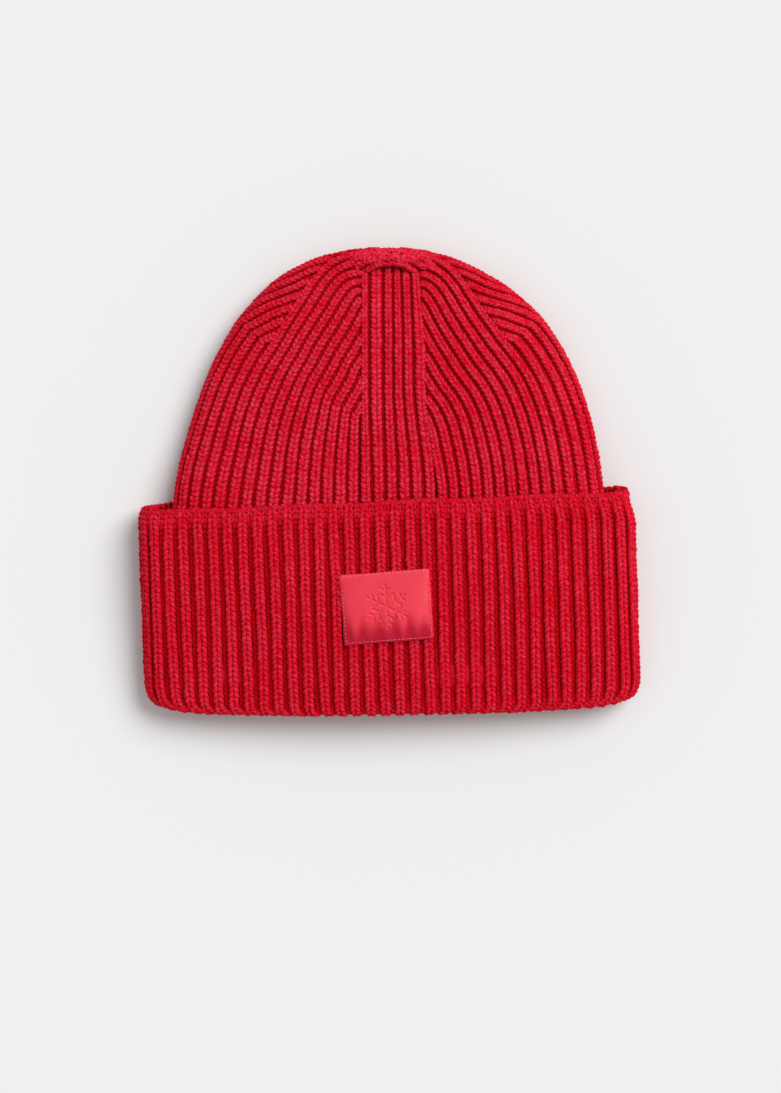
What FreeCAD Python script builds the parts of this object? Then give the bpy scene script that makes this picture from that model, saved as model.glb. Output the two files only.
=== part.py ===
import FreeCAD, Part
import math
import os
from FreeCAD import Vector

# A ribbed knitted beanie with a deep turned-up cuff, lying on its back.
# +Z is up, +Y points to the top of the crown, -Y out of the mouth, +X to the right.
# The origin is on the resting surface, under the middle of the hat's box.

# ---- fabric -------------------------------------------------------------
fabric = 4.2                # thickness of one layer of ribbed knit
layer_gap = 0.4             # air between the cuff and the band that it covers
two_layers = 2 * fabric + layer_gap

# ---- whole hat ----------------------------------------------------------
hat_length = 222.0          # fold edge to the top of the crown
cuff_width = 233.6          # across the flattened cuff
cuff_thick = 32.0           # front to back at the middle of the cuff
cuff_end_radius = 11.5      # roundness of the cuff's two side folds
fold_y = -hat_length / 2    # lowest edge of the turned-up fold
top_y = hat_length / 2
hem_y = -10.5               # free edge of the cuff, at the middle
hem_slope_deg = 2.7         # the cuff is turned up a little further on the right
hem_chain = 3.4             # width of the cast-on chain along the free edge
hem_proud = 0.6             # how far the chain stands out of the fabric
corner_radius = 13.0        # the fold's corners, seen from above

# ---- crown --------------------------------------------------------------
crown_half_width = 103.0    # at the crown's widest level, which the cuff covers
crown_level_y = -30.0       # that level
crown_power = 2.3           # fullness of the outline towards the top
crown_top_deg = 88.0        # the outline's angle where the shell closes
cavity_top_deg = 80.0       # the same for the hollow inside it
taper_power = 0.35          # how slowly the crown thins towards the top
end_share = 0.3             # side-fold radius as a share of the thickness
lift_start_y = -10.0        # from here the back settles on to the surface
lift_end_y = 40.0
settled_low = 0.1           # the crown's back where it has settled
top_lift = 3.0              # how far the back rises at the very top

# ---- top of the crown ---------------------------------------------------
top_seam_length = 38.0      # drawn-together roll across the top
top_seam_radius = 4.6
top_seam_y = 104.6
top_seam_z = 14.6
knot_radius = 2.4
yarn_radius = 0.9
closing_loop_radius = 4.2
closing_y = 98.0

# ---- seam and labels ----------------------------------------------------
seam_width = 6.0            # linked seam inside the centre back
seam_height = 1.6
seam_end_y = 92.0
patch_width = 42.1
patch_height = 33.0
patch_thick = 1.0
patch_x = -0.9
patch_y = -59.0
patch_tilt_deg = 4.5
patch_corner = 1.0
stitch_inset = 1.5          # stitch line to the patch's edge
stitch_pitch = 1.8
stitch_length = 1.2
stitch_width = 0.5
stitch_height = 0.3
care_length = 30.0          # sewn edge to the folded end
care_width = 42.0
care_thick = 1.0
care_y = -66.0              # middle of the sewn edge
care_clear = 0.5            # air under the label
care_stitch_count = 9
care_stitch_air = 0.05

band_low = fabric + layer_gap
band_high = cuff_thick - band_low
lip_radius = two_layers / 2
lip_y = fold_y + lip_radius
corner_y = fold_y + corner_radius
cavity_floor = two_layers


def slab_section(y, half_width, low, high, end_radius):
    """Closed outline across the hat: flat back, round side folds, crowned front."""
    inner = half_width - end_radius
    shoulder = low + 2 * end_radius
    back_left = Vector(-inner, y, low)
    back_right = Vector(inner, y, low)
    front_right = Vector(inner, y, shoulder)
    front_left = Vector(-inner, y, shoulder)
    right_side = Vector(half_width, y, low + end_radius)
    left_side = Vector(-half_width, y, low + end_radius)
    front_middle = Vector(0, y, high)
    edges = [
        Part.LineSegment(back_left, back_right).toShape(),
        Part.Arc(back_right, right_side, front_right).toShape(),
        Part.Arc(front_right, front_middle, front_left).toShape(),
        Part.Arc(front_left, left_side, back_left).toShape(),
    ]
    return Part.Wire(edges)


def corner_draw(y):
    """How far the cuff's side has come in at level y, where its corner is round."""
    depth = max(0.0, fold_y + corner_radius - y)
    return corner_radius - math.sqrt(corner_radius ** 2 - min(depth, corner_radius) ** 2)


def cuff_section(y, inset):
    """The cuff's outline at level y, drawn in by inset all round."""
    return slab_section(y, cuff_width / 2 - corner_draw(y) - inset, inset,
                        cuff_thick - inset, cuff_end_radius - inset)


def cuff_prism(y_start, y_end, inset):
    """The straight part of the cuff's outline between two levels."""
    outline = slab_section(y_start, cuff_width / 2 - inset, inset, cuff_thick - inset,
                           cuff_end_radius - inset)
    return Part.Face(outline).extrude(Vector(0, y_end - y_start, 0))


def cuff_corner(inset):
    """The drawn-in part of the cuff's outline between the lip and the straight part."""
    middle_y = (lip_y + corner_y) / 2
    return Part.makeLoft([cuff_section(y, inset) for y in (lip_y, middle_y, corner_y)], True)


def lip_loft(side):
    """Half-round lip of the fold; side is -1 for its outside and +1 for the mouth."""
    sections = []
    for angle_deg in (0, 30, 60, 90):
        angle = math.radians(angle_deg)
        y = lip_y - lip_radius * math.cos(angle)
        inset = lip_radius + side * lip_radius * math.sin(angle)
        outline = slab_section(y, cuff_width / 2 - corner_draw(lip_y) - inset, inset,
                               cuff_thick - inset, cuff_end_radius - inset)
        sections.append(outline)
    return Part.makeLoft(sections, True)


def smooth_step(value, start, end):
    share = min(1.0, max(0.0, (value - start) / (end - start)))
    return share * share * (3 - 2 * share)


def crown_levels(top_deg, inset):
    """Outlines of the head band and the crown, drawn in by inset all round."""
    flare = cuff_width / 2 - band_low - crown_half_width
    levels = []
    for y in (lip_y, (lip_y + corner_y) / 2, corner_y, -70.0, -45.0):
        share = (y - crown_level_y) / (lip_y - crown_level_y)
        half_width = crown_half_width + flare * share - corner_draw(y)
        levels.append((y, half_width, band_low, band_high))
    length = (top_y - crown_level_y) / math.sin(math.radians(crown_top_deg)) ** (2 / crown_power)
    for step in (0.08, 0.2, 0.34, 0.48, 0.62, 0.74, 0.84, 0.93, 1.0):
        angle = math.radians(top_deg * step)
        y = crown_level_y + (length - inset) * math.sin(angle) ** (2 / crown_power)
        settled = smooth_step(y, lift_start_y, lift_end_y)
        low = band_low + (settled_low - band_low) * settled
        low += top_lift * (1 - math.cos(angle)) ** 6
        high = band_high * math.cos(angle) ** taper_power
        levels.append((y, crown_half_width * math.cos(angle), low, high))
    wires = []
    for y, half_width, low, high in levels:
        thick = high - low - 2 * inset
        wires.append(slab_section(y, half_width - inset, low + inset, high - inset,
                                  end_share * thick))
    return wires


def half_space_above_hem(offset):
    """Big block beyond the sloping free edge of the cuff, moved along it by offset."""
    size = 2 * hat_length
    block = Part.makeBox(2 * size, size, size, Vector(-size, 0, -size / 4))
    block.rotate(Vector(0, 0, 0), Vector(0, 0, 1), hem_slope_deg)
    block.translate(Vector(0, hem_y + offset, 0))
    return block


def make_cuff():
    """Turned-up outer layer with the half-round fold that joins it to the band."""
    lip = lip_loft(-1).cut(lip_loft(1))
    corner = cuff_corner(0).cut(cuff_corner(fabric))
    sleeve = cuff_prism(corner_y, 0, 0).cut(cuff_prism(corner_y, 0, fabric))
    sleeve = sleeve.cut(half_space_above_hem(-hem_chain))
    return lip.fuse([corner, sleeve])


def make_hem_chain():
    """Cast-on chain along the free edge: a flat ring that hugs the cuff's end."""
    ring = cuff_prism(fold_y, top_y, -hem_proud)
    ring = ring.cut(cuff_prism(fold_y, top_y, fabric))
    ring = ring.common(half_space_above_hem(-hem_chain))
    ring = ring.cut(half_space_above_hem(0))
    floor = Part.makeBox(2 * hat_length, 2 * hat_length, hat_length,
                         Vector(-hat_length, -hat_length, 0))
    return ring.common(floor)


def crown_outside():
    return Part.makeLoft(crown_levels(crown_top_deg, 0), True)


def crown_cavity(lift=0.0):
    cavity = Part.makeLoft(crown_levels(cavity_top_deg, fabric), True)
    cavity.translate(Vector(0, 0, lift))
    return cavity


def make_crown():
    """Dome and head band, one knitted shell that is open at the mouth."""
    return crown_outside().cut(crown_cavity())


def make_top_seam(outside):
    """Roll where the side bands are drawn together over the top of the crown."""
    half = top_seam_length / 2
    roll = Part.makeCylinder(top_seam_radius, top_seam_length,
                             Vector(-half, top_seam_y, top_seam_z), Vector(1, 0, 0))
    for side in (-1, 1):
        end = Part.makeSphere(top_seam_radius, Vector(side * half, top_seam_y, top_seam_z))
        roll = roll.fuse(end)
    return roll.removeSplitter().cut(outside)


def make_closing_yarn(cavity):
    """Yarn loop drawn through the last stitches, with its fastening knot, inside."""
    middle = Vector(0, closing_y, cavity_floor)
    loop = Part.makeTorus(closing_loop_radius, yarn_radius, middle, Vector(0, 1, 0))
    knot = Part.makeSphere(knot_radius, middle + Vector(0, -knot_radius / 2, closing_loop_radius))
    return loop.fuse(knot).common(cavity)


def make_back_seam(cavity):
    """Linked seam: a low ridge that follows the cavity's floor at the centre back."""
    strip = Part.makeBox(seam_width, seam_end_y - lip_y, cuff_thick / 2,
                         Vector(-seam_width / 2, lip_y, 0))
    return strip.common(cavity).cut(crown_cavity(seam_height))


def on_patch(solid):
    """Move a solid from the patch's own plane to its place on the cuff."""
    placed = solid.copy()
    placed.rotate(Vector(0, 0, 0), Vector(0, 0, 1), patch_tilt_deg)
    placed.translate(Vector(patch_x, patch_y, 0))
    return placed


def make_patch():
    """Stitched-on patch: a thin pad with rounded corners on the front of the cuff."""
    sheet = Part.makeBox(patch_width, patch_height, cuff_thick + patch_thick,
                         Vector(-patch_width / 2, -patch_height / 2, 0))
    upright = [e for e in sheet.Edges if abs(e.Vertexes[0].Z - e.Vertexes[1].Z) > 1]
    sheet = sheet.makeFillet(patch_corner, upright)
    return on_patch(sheet).cut(cuff_prism(fold_y, top_y, 0))


def make_patch_stitches():
    """Machine stitches round the patch, each one a separate short bar of thread."""
    run_x = patch_width - 2 * stitch_inset
    run_y = patch_height - 2 * stitch_inset
    top = cuff_thick + patch_thick
    stitches = []
    for length, across, turned in ((run_x, run_y, False), (run_y, run_x, True)):
        count = int(length / stitch_pitch)
        pitch = length / count
        for side in (-1, 1):
            for index in range(count):
                along = -length / 2 + pitch * (index + 0.5)
                corner = Vector(along - stitch_length / 2,
                                side * across / 2 - stitch_width / 2, top)
                bar = Part.makeBox(stitch_length, stitch_width, stitch_height, corner)
                if turned:
                    bar.rotate(Vector(0, 0, 0), Vector(0, 0, 1), 90)
                stitches.append(on_patch(bar))
    return Part.makeCompound(stitches)


def make_care_label():
    """Blank folded ribbon that lies on the back wall and lifts about its sewn edge."""
    start = seam_width / 2 + care_clear
    low = cavity_floor + care_clear
    label = Part.makeBox(care_length, care_width, care_thick,
                         Vector(start, care_y - care_width / 2, low))
    far = [e for e in label.Edges
           if min(v.X for v in e.Vertexes) > start + care_length - 1e-6
           and abs(e.Vertexes[0].Y - e.Vertexes[1].Y) > 1]
    return label.makeFillet(0.45 * care_thick, far)


def make_care_stitches():
    """Stitches on the seam's ridge that catch the care label's edge."""
    low = cavity_floor + seam_height + care_stitch_air
    pitch = care_width / care_stitch_count
    bars = []
    for index in range(care_stitch_count):
        y = care_y - care_width / 2 + pitch * (index + 0.5)
        bars.append(Part.makeBox(seam_width / 3, stitch_width, stitch_height,
                                 Vector(seam_width / 2 - seam_width / 3, y, low)))
    return Part.makeCompound(bars)


def main():
    outside = crown_outside()
    cavity = crown_cavity()
    pieces = {
        "crown_knit": make_crown(),
        "cuff_knit": make_cuff(),
        "cuff_hem_chain": make_hem_chain(),
        "crown_top_seam": make_top_seam(outside),
        "crown_closing_yarn": make_closing_yarn(cavity),
        "back_seam": make_back_seam(cavity),
        "patch_label": make_patch(),
        "patch_stitches": make_patch_stitches(),
        "care_label": make_care_label(),
        "care_label_stitches": make_care_stitches(),
    }
    os.makedirs("parts", exist_ok=True)
    for name, shape in pieces.items():
        shape.exportStep("parts/" + name + ".step")
        box = shape.optimalBoundingBox(False)
        print(name, "solids", len(shape.Solids), "volume", round(shape.Volume),
              "valid", shape.isValid(),
              "box", [round(v, 2) for v in (box.XMin, box.YMin, box.ZMin,
                                            box.XMax, box.YMax, box.ZMax)])


main()
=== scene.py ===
import math
import bpy
import numpy as np
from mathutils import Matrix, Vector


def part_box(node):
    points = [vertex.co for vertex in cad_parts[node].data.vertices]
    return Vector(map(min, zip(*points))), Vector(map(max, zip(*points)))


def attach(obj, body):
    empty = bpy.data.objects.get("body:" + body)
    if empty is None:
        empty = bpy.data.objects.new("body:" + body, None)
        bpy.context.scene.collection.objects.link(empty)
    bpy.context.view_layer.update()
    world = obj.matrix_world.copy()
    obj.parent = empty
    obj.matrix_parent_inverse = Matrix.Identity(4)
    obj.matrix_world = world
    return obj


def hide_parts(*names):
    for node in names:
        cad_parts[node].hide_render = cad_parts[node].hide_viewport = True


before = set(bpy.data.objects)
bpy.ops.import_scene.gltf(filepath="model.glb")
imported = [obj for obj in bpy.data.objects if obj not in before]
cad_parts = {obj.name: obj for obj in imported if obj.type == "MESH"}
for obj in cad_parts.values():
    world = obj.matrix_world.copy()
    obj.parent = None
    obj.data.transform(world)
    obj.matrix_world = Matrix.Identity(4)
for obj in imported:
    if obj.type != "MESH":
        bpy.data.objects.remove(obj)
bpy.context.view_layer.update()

# A chunky ribbed beanie lying on its back. Every stitch that shows is its own piece of yarn.
# All sizes below are in millimetres. Meshes are scaled to metres where they are made.
MM = 0.001
UP = (0.0, 0.0, 1.0)
rng = np.random.default_rng(21)

# ---- the knit -------------------------------------------------------------
rib_count = 70              # columns of V stitches round the hat
row_pitch = 2.42            # one row of stitches
samples_per_rib = 8
loop_samples = rib_count * samples_per_rib
floor_depth = 3.0           # from the crest of a rib to the fabric between two ribs
fabric = 4.2                # thickness of one layer
faces_per_piece = 190000
plies = 3.0
ply_turn = 1.5              # mm of yarn in which the pattern of plies repeats
# the share of the distance between two ribs that a rib or a hollow takes up
cuff_rib_share, cuff_hollow_share = 0.75, 0.33
crown_rib_share, side_rib_share, crown_hollow_share = 0.84, 0.78, 0.27

# ---- the cuff, as in the CAD model ----------------------------------------
cuff_half = 117.9
cuff_thick = 32.0
cuff_end_radius = 11.5
fold_y = -111.0
lip_radius = 4.4
corner_radius = 13.0
corner_rise = 2.0           # the fold curves up by this much at the hat's sides
corner_start = 74.0         # from here outwards the ribs lean in round the fold's corner
inner_band_end = -38.0
two_layers = 2 * lip_radius

# ---- the crown, as in the CAD model ---------------------------------------
crown_half = 103.0
crown_base_y = -30.0
crown_length = 141.0
crown_power = 2.3
crown_peak = 27.4
crown_start_y = -60.0


def smooth(x, start, end):
    """0 before start, 1 after end, and a soft step between them."""
    share = np.clip((np.asarray(x, float) - start) / (end - start), 0.0, 1.0)
    return share * share * (3 - 2 * share)


def unit(vectors):
    return vectors / np.maximum(np.linalg.norm(vectors, axis=-1, keepdims=True), 1e-9)


def lengths_along(points):
    steps = np.linalg.norm(np.diff(points, axis=0), axis=1)
    return np.concatenate([[0.0], np.cumsum(steps)])


def at(positions, where, table):
    """Rows of table, given at where, read at positions of any shape."""
    columns = [np.interp(positions, where, table[:, i]) for i in range(table.shape[1])]
    return np.stack(columns, axis=-1)


def running_mean(values, window, closed=False):
    """A centred mean over some rows. The ends repeat, or meet where the line is closed."""
    reach = window // 2
    before, behind = np.repeat(values[:1], reach, 0), np.repeat(values[-1:], reach, 0)
    if closed:
        before, behind = values[-reach:], values[:reach]
    padded = np.concatenate([before, values, behind])
    share = np.ones(window) / window
    if padded.ndim == 1:
        return np.convolve(padded, share, "valid")
    return np.stack([np.convolve(column, share, "valid") for column in padded.T], 1)


def in_mm(corners):
    """A box's lowest and highest corners, from metres to mm."""
    return [np.array(corner) / MM for corner in corners]


def wobble(s, size, wave):
    """A slow seeded wave along s, a few wavelengths mixed."""
    total = np.zeros_like(np.asarray(s, float))
    for share in (1.0, 0.55, 0.3):
        phase = rng.uniform(0, 2 * math.pi)
        total += share * np.sin(2 * math.pi * s / (wave * (0.5 + share)) + phase)
    return size * total / 1.85


# ---- meshes ---------------------------------------------------------------
def new_object(name, data):
    made = bpy.data.objects.new(name, data)
    bpy.context.scene.collection.objects.link(made)
    return made


def flat(values, kind=np.float32):
    return np.ascontiguousarray(values, kind).ravel()


def mesh_object(name, points, faces, material, body="hat", slot="rib_knit", crest=None,
                twist=None):
    """An object from points in mm and an array of equal-sided faces. The painted light values mark
    painted shade and highlight: 1 on the yarn's raised side, which gets its full mottled colour,
    0 deep in the knit, where the material paints shade, and low towards the patch's lower edge,
    where it paints shade. twist holds each point's place on its yarn: cosine and sine of the
    angle, and mm along."""
    mesh = bpy.data.meshes.new(name)
    count, sides = faces.shape
    mesh.vertices.add(len(points))
    mesh.vertices.foreach_set("co", flat(points * MM))
    mesh.loops.add(count * sides)
    mesh.loops.foreach_set("vertex_index", flat(faces, np.int32))
    mesh.polygons.add(count)
    mesh.polygons.foreach_set("loop_start", np.arange(0, count * sides, sides, dtype=np.int32))
    mesh.polygons.foreach_set("use_smooth", np.ones(count, bool))
    mesh.update(calc_edges=True)
    mesh.materials.append(material)
    if crest is not None:
        layer = mesh.attributes.new("crest", "FLOAT", "POINT")
        layer.data.foreach_set("value", flat(crest))
    if twist is not None:
        layer = mesh.attributes.new("twist", "FLOAT_VECTOR", "POINT")
        layer.data.foreach_set("vector", flat(twist))
    piece = new_object(name, mesh)
    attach(piece, body)
    return piece


def grid_faces(rows, columns, wrap):
    """Quads of a grid of rows by columns, closed round the columns when wrap is set."""
    row, column = np.meshgrid(np.arange(rows - 1), np.arange(columns if wrap else columns - 1),
                              indexing="ij")
    after = (column + 1) % columns
    quads = np.stack([row * columns + column, row * columns + after,
                      (row + 1) * columns + after, (row + 1) * columns + column], axis=-1)
    return quads.reshape(-1, 4)


def tube_faces(rings, around):
    """Triangles of a closed tube, whose two end points come after its rings."""
    quads = grid_faces(rings, around, True)
    i = np.arange(around)
    after = (i + 1) % around
    first, base = rings * around, (rings - 1) * around
    return np.concatenate([quads[:, [0, 1, 2]], quads[:, [0, 2, 3]],
                           np.stack([np.full(around, first), after, i], 1),
                           np.stack([np.full(around, first + 1), base + i, base + after], 1)])


def grain(rings, around):
    """A closed tube: share along it, angle round it, and triangles. Its ends are points."""
    share = np.repeat(np.linspace(0, 1, rings), around)
    angle = np.tile(np.arange(around) * 2 * math.pi / around, rings)
    share = np.concatenate([share, [-0.06, 1.06]])
    angle = np.concatenate([angle, [0, 0]])
    round_size = np.concatenate([np.ones(rings * around), [0, 0]])
    return share, angle, round_size, tube_faces(rings, around)


class Yarns:
    """Collects bits of yarn and makes them into objects of a limited size."""

    def __init__(self):
        self.points, self.faces, self.crest, self.twist, self.used = [], [], [], [], 0

    def add(self, points, triangles, height=0.0, angle=0.0, along=0.0):
        """points: (bits, template points, 3). height is over the crest surface, in mm."""
        bits, size = points.shape[:2]
        angle = np.broadcast_to(angle, (bits, size))
        along = np.broadcast_to(along, (bits, size)) + 2.3 * np.arange(bits)[:, None]
        self.twist.append(np.stack([np.cos(angle), np.sin(angle), along], -1).reshape(-1, 3))
        # painted light: the deeper a point lies under the crest, the more painted shade it gets
        crest = np.clip(1 + np.broadcast_to(height, (bits, size)) / floor_depth, 0, 1)
        self.crest.append(crest.ravel())
        offset = self.used + np.arange(bits)[:, None, None] * size
        self.points.append(points.reshape(-1, 3))
        self.faces.append((triangles[None] + offset).reshape(-1, 3))
        self.used += bits * size

    def build(self, name, material, **options):
        pieces, group, start, total = [], [], 0, 0
        for i, faces in enumerate(self.faces):
            if total + len(faces) > faces_per_piece:
                group.append((start, i))
                start, total = i, 0
            total += len(faces)
        group.append((start, len(self.faces)))
        sizes = np.cumsum([0] + [len(p) for p in self.points])
        for number, (a, b) in enumerate(group):
            points = np.concatenate(self.points[a:b])
            faces = np.concatenate(self.faces[a:b]) - sizes[a]
            options["crest"] = np.concatenate(self.crest[a:b])
            options["twist"] = np.concatenate(self.twist[a:b])
            label = name if len(group) == 1 else f"{name}_{number + 1}"
            pieces.append(mesh_object(label, points, faces, material, **options))
        return pieces


class Wale:
    """One column of stitches: its middle line on the crest, outward normal and width. One
    normal or width may stand for all points."""

    def __init__(self, points, outward, width, spacing=0.8):
        s = lengths_along(points)
        outward = np.broadcast_to(outward, points.shape)
        width = np.broadcast_to(width, len(points))
        self.length = s[-1]
        self.s = np.linspace(0, self.length, max(4, int(self.length / spacing)))
        self.points = at(self.s, s, points)
        tangent = unit(np.gradient(self.points, axis=0))
        outward = at(self.s, s, outward)
        self.across = unit(np.cross(tangent, outward))
        self.outward = unit(np.cross(self.across, tangent))
        self.tangent = tangent
        self.width = np.interp(self.s, s, width)

    def place(self, s, u, n):
        """Points at distance s along, u across as a share of the width, n mm outwards."""
        inside = np.clip(s, 0, self.length)
        over = (s - inside)[..., None]
        middle = at(inside, self.s, self.points) + over * at(inside, self.s, self.tangent)
        across = at(inside, self.s, self.across)
        outward = at(inside, self.s, self.outward)
        width = np.interp(inside, self.s, self.width)
        return middle + across * (u * width)[..., None] + outward * n[..., None]


leg_share, leg_angle, leg_round, leg_faces = grain(7, 6)
bar_share, bar_angle, bar_round, bar_faces = grain(5, 5)


def rows_of(wale, start=0.0, end=None):
    """Where the rows of a wale are, with the small unevenness of real knitting."""
    end = wale.length if end is None else end
    count = max(1, int((end - start) / row_pitch))
    rows = start + (np.arange(count) + 0.3) * row_pitch
    return rows + rng.normal(0, 0.06, count)


def knit_v(yarns, wale, rows, lift=0.0, fat=1.0, camber=3.0):
    """One V of two yarn legs in each row. camber rounds the rib over its width."""
    count = len(rows)
    lift = np.zeros(count) + lift
    for side in (-1, 1):
        t = leg_share
        size = rng.normal(1.0, 0.07, count)[:, None]
        shift = rng.normal(0, 0.016, count)[:, None]
        rise = np.sin(math.pi * np.clip(0.12 + 0.8 * t, 0, 1))
        u_line = side * (0.07 + 0.31 * np.clip(t, 0, 1) ** 0.9)
        v_line = row_pitch * (-0.34 + 1.22 * t)
        thick = (0.66 + 0.34 * np.sin(math.pi * np.clip(t, 0, 1))) * leg_round
        radius = 0.178 * fat * size * thick
        u = u_line + shift + radius * np.cos(leg_angle)
        v = rows[:, None] + v_line
        reach = np.interp(rows, wale.s, wale.width)[:, None]
        n = lift[:, None] - 1.5 + 0.6 * rise + reach * radius * np.sin(leg_angle)
        n = n - camber * u_line ** 2 + rng.normal(0, 0.09, count)[:, None]
        slope = 0.55 * side * reach * radius * np.cos(leg_angle)
        yarns.add(wale.place(v - slope, u, n), leg_faces, n - lift[:, None],
                  side * leg_angle, 1.1 * v_line)


def knit_bars(yarns, wale, rows, depth, arch=0.12):
    """The purl side between two ribs: one bar of yarn across it in each row."""
    count = len(rows)
    t = bar_share
    u_line = (t - 0.5) * 1.15
    bow = 1 - (2 * t - 1) ** 2
    radius = 1.75 * (0.85 + 0.15 * bow) * bar_round
    u = u_line + rng.normal(0, 0.03, count)[:, None]
    v = rows[:, None] + arch * bow * row_pitch + radius * np.cos(bar_angle)
    n = (np.zeros(count) + depth)[:, None] + 0.3 * bow - 0.3 + 0.34 * radius * np.sin(bar_angle)
    yarns.add(wale.place(v, u, n + rng.normal(0, 0.06, count)[:, None]), bar_faces, n - 0.4,
              bar_angle, 2.4 * u_line)


def core(yarns, wale, start, end, depth=2.0, share=0.42, thick=1.05, height=-1.4):
    """The body of a rib under its stitches."""
    count = max(3, int((end - start) / 2.2))
    s = np.linspace(start, end, count)
    around = 6
    angle = np.arange(around) * 2 * math.pi / around
    u = np.broadcast_to(share * np.cos(angle), (count, around))
    n = np.broadcast_to(-depth + thick * np.sin(angle), (count, around))
    ring = wale.place(np.repeat(s[:, None], around, 1), u, n).reshape(-1, 3)
    caps = np.stack([ring[:around].mean(0), ring[-around:].mean(0)])
    yarns.add(np.concatenate([ring, caps])[None], tube_faces(count, around), height)


def knit_column(yarns, wale, waver, wave, fat=1.0, camber=3.0, **body):
    """A whole rib: rows of stitches that are uneven by waver mm, over a core."""
    rows = rows_of(wale)
    knit_v(yarns, wale, rows, lift=wobble(rows, waver, wave), fat=fat, camber=camber)
    core(yarns, wale, 0, wale.length, **body)


# ---- the cuff's shape -----------------------------------------------------
def slab_loop(half_width, low, high, end_radius):
    """The cuff's outline across the hat, as (x, z), evenly spaced from the middle of the back."""
    inner = half_width - end_radius
    rise = high - low - 2 * end_radius
    turn = np.radians(np.linspace(-90, 90, 31))
    right = np.stack([inner + end_radius * np.cos(turn),
                      low + end_radius + end_radius * np.sin(turn)], 1)
    radius = (inner ** 2 + rise ** 2) / (2 * rise)
    swing = np.linspace(1, -1, 81) * math.asin(inner / radius)
    front = np.stack([radius * np.sin(swing), high - radius + radius * np.cos(swing)], 1)
    left = right[::-1] * (-1, 1)
    middle = np.array([[0.0, low]])
    loop = np.concatenate([middle, right, front[1:-1], left, middle])
    s = lengths_along(loop)
    return running_mean(at(np.linspace(0, s[-1], loop_samples, endpoint=False), s, loop), 9,
                        closed=True)


def corner_draw(y, inset):
    """How far the cuff's side is drawn in, round the corner at the fold."""
    depth = np.clip(fold_y + corner_radius - y, 0, corner_radius)
    drawn = corner_radius - math.sqrt(corner_radius ** 2 - depth ** 2)
    return 0.5 * drawn + 0.3 * max(0.0, inset - lip_radius)


def cuff_slope(y):
    """The cuff thins towards the fold: its height there as a share of the full height."""
    return 1 - 0.32 * np.clip((-y - 25) / 85, 0, 1) ** 2


def hem_level(x, z):
    """The free edge of the cuff. Its back layer stands a little higher than the front."""
    front = -11.2 + 0.041 * x
    back = front + 3.3 - 0.004 * x
    edge = back + (front - back) * smooth(z, 5, 24)
    return edge + 0.35 * np.sin(x / 9.0)


def cuff_columns(rows):
    """The cuff's crest surface: down the outside, round the fold and up inside."""
    rings = []
    lip_y = fold_y + lip_radius
    outer = [(y, 0.0) for y in np.linspace(2, lip_y, 70)]
    lip = [(lip_y - lip_radius * math.sin(a), lip_radius * (1 - math.cos(a)))
           for a in np.linspace(0, math.pi, 22)[1:-1]]
    inner = [(y, two_layers) for y in np.linspace(lip_y, inner_band_end, 34)]
    for y, inset in outer + lip + inner:
        half = cuff_half - inset
        loop = slab_loop(half, inset, cuff_thick - inset, cuff_end_radius - inset)
        x, z = loop[:, 0], loop[:, 1]
        share = np.clip((np.abs(x) - corner_start) / (half - corner_start), 0, 1)
        x = x - np.sign(x) * corner_draw(y, inset) * share ** 1.7
        if inset == 0:
            x = x * (1 - 0.022 * smooth(y, -19, -6))     # the free edge is a little tighter
        bow = np.where(x > -32, 0.00024, 0.00031) * (x + 32) ** 2
        bow = bow + corner_rise * share ** 3 * smooth(-y, 88, 110)
        weight = smooth(-y, 25, 105) if inset < lip_radius else smooth(-y, 55, 106)
        lean = 0.4 + 1.3 * (-(y + 56) / 40)
        wave = 0.5 * np.sin(x / 17.0 + y / 23.0) * smooth(np.abs(z - 16), 6, 12)
        z = z + wave * np.sign(z - 16) * smooth(z, 4, 9) * (inset == 0)
        sink = 1 - cuff_slope(y)
        if inset == two_layers:
            sink *= 0.35 + 0.65 * smooth(-y, 90, 104)    # room for the care label to swing
        z = z * (1 - sink * smooth(z, 9, 20))
        rings.append(np.stack([x + lean, y + bow * weight, z], 1))
    rings = np.stack(rings)
    columns = np.empty((rows, loop_samples, 3))
    for m in range(loop_samples):
        column = rings[:, m]
        s = lengths_along(column)
        edge = hem_level(column[20, 0], column[20, 2])
        start = np.interp(-edge, -column[:70, 1], s[:70])
        columns[:, m] = at(np.linspace(start, s[-1], rows), s, column)
    return columns


def sheet_normals(grid):
    """Softened normals of a grid of points whose columns close into rings."""
    along = np.roll(grid, -1, 1) - np.roll(grid, 1, 1)
    normals = unit(np.cross(np.gradient(grid, axis=0), along))
    rows = np.arange(len(grid))
    total = sum(normals[np.clip(rows + step, 0, len(grid) - 1)] for step in range(-6, 7))
    return unit(sum(np.roll(total, step, 1) for step in range(-5, 6)))


def sheet_path(grid, normals, m):
    """The line on a closed grid at column m, a number for each row."""
    low = np.floor(m).astype(int)
    share = (m - low)[:, None]
    row = np.arange(len(grid))
    a, b = low % grid.shape[1], (low + 1) % grid.shape[1]
    points = grid[row, a] * (1 - share) + grid[row, b] * share
    outward = normals[row, a] * (1 - share) + normals[row, b] * share
    pitch = np.linalg.norm(grid[row, (low + 4) % grid.shape[1]]
                           - grid[row, (low - 4) % grid.shape[1]], axis=1)
    return points, outward, pitch


# ---- the crown's shape ----------------------------------------------------
def crown_edge_height(y):
    """Height of the crown's side fold, where front and back meet."""
    return 11.4 - 3.4 * smooth(y, -10, 40) - 1.6 * smooth(y, 60, 108)


def band_half(y):
    """Half the crown's width at its base, and below it, where the band widens a little."""
    return crown_half + 0.12 * np.clip(crown_base_y - y, 0, None)


def dome(t, inset=0.0):
    """Half the width and the y of the crown's rounded part, at an angle t up its outline."""
    rise = crown_base_y + (crown_length - inset) * np.sin(t) ** (2 / crown_power)
    return (crown_half - inset) * np.cos(t), rise


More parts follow.
